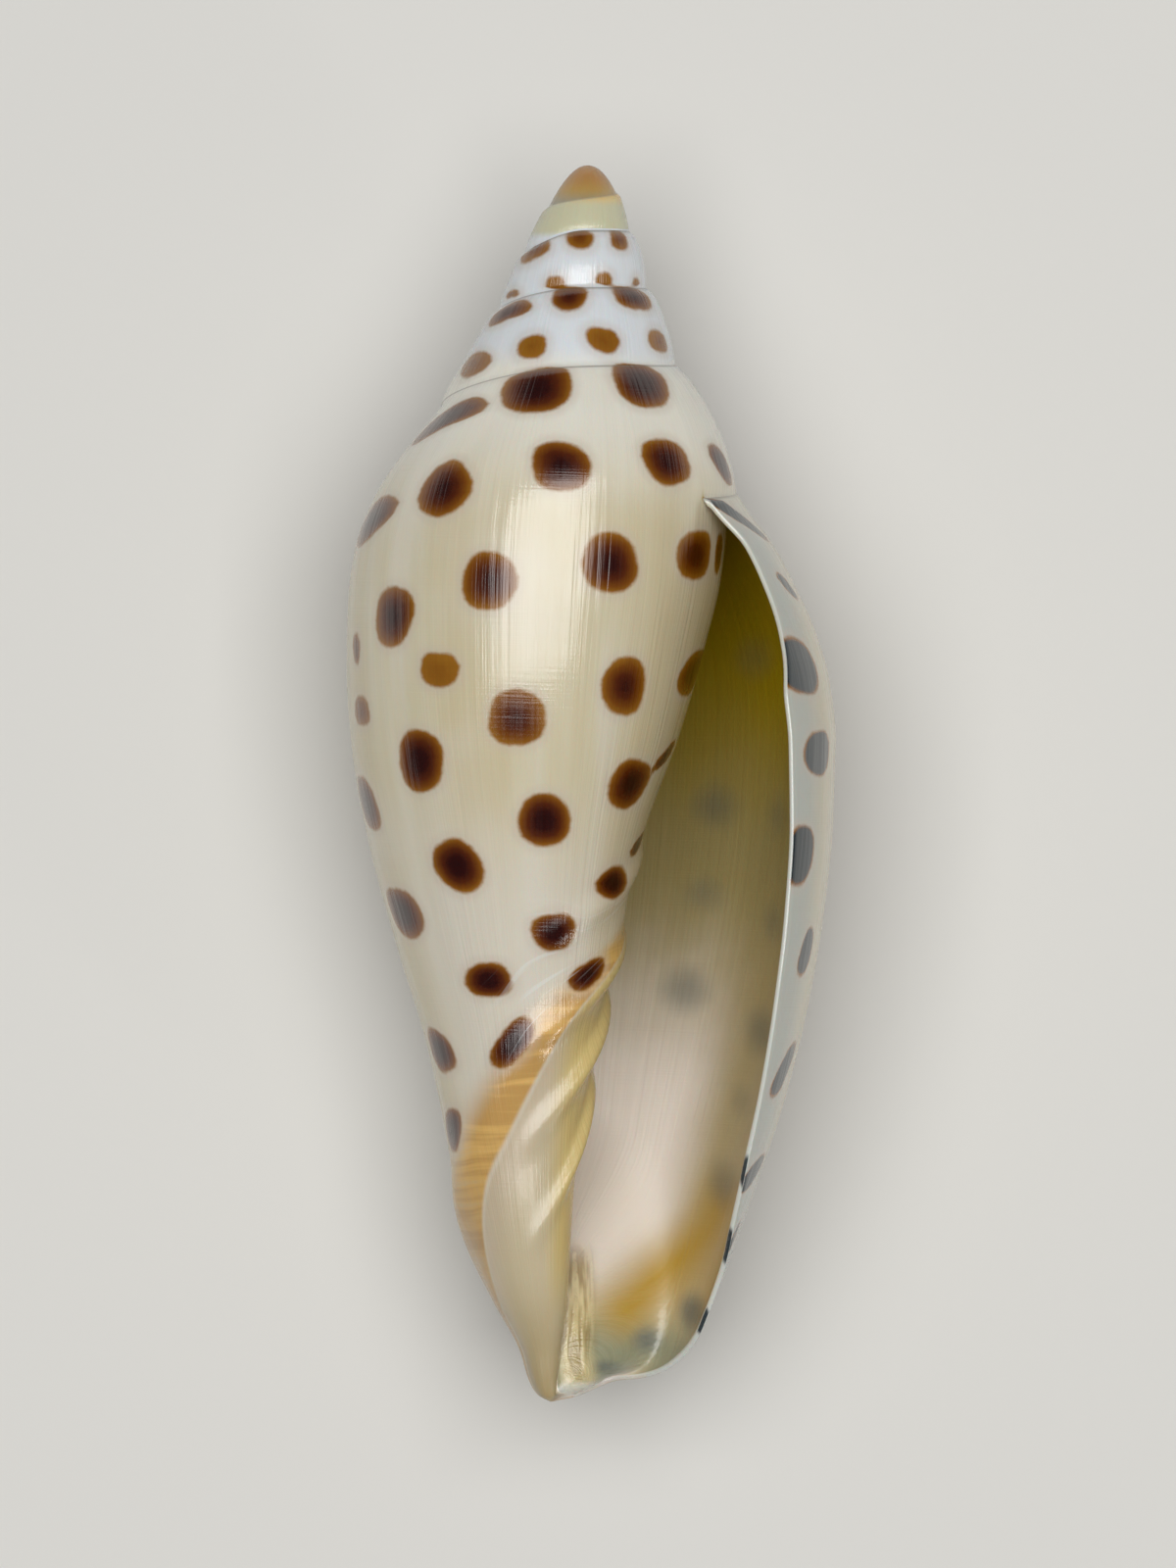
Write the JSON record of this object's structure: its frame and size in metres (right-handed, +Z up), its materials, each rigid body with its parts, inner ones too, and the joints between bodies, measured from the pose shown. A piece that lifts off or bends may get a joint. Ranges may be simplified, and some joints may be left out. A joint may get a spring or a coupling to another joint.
{
  "type": "elizabeths volute shell",
  "caption": "Spotted volute sea shell lying on its back, a long body whorl with an open aperture, a folded columella and a short spire.",
  "frame": {"origin": "centre of the shell's box, on the surface that it lies on", "axes": "+Y along the coiling axis towards the apex, +Z up, which is the way the aperture faces, +X towards the outer lip"},
  "size_m": [0.0358, 0.09, 0.0308],
  "materials": {
    "shell": "polished natural shell, glossy cream with dark brown spots"
  },
  "bodies": {
    "root": {"shell": "shell"}
  },
  "joints": []
}
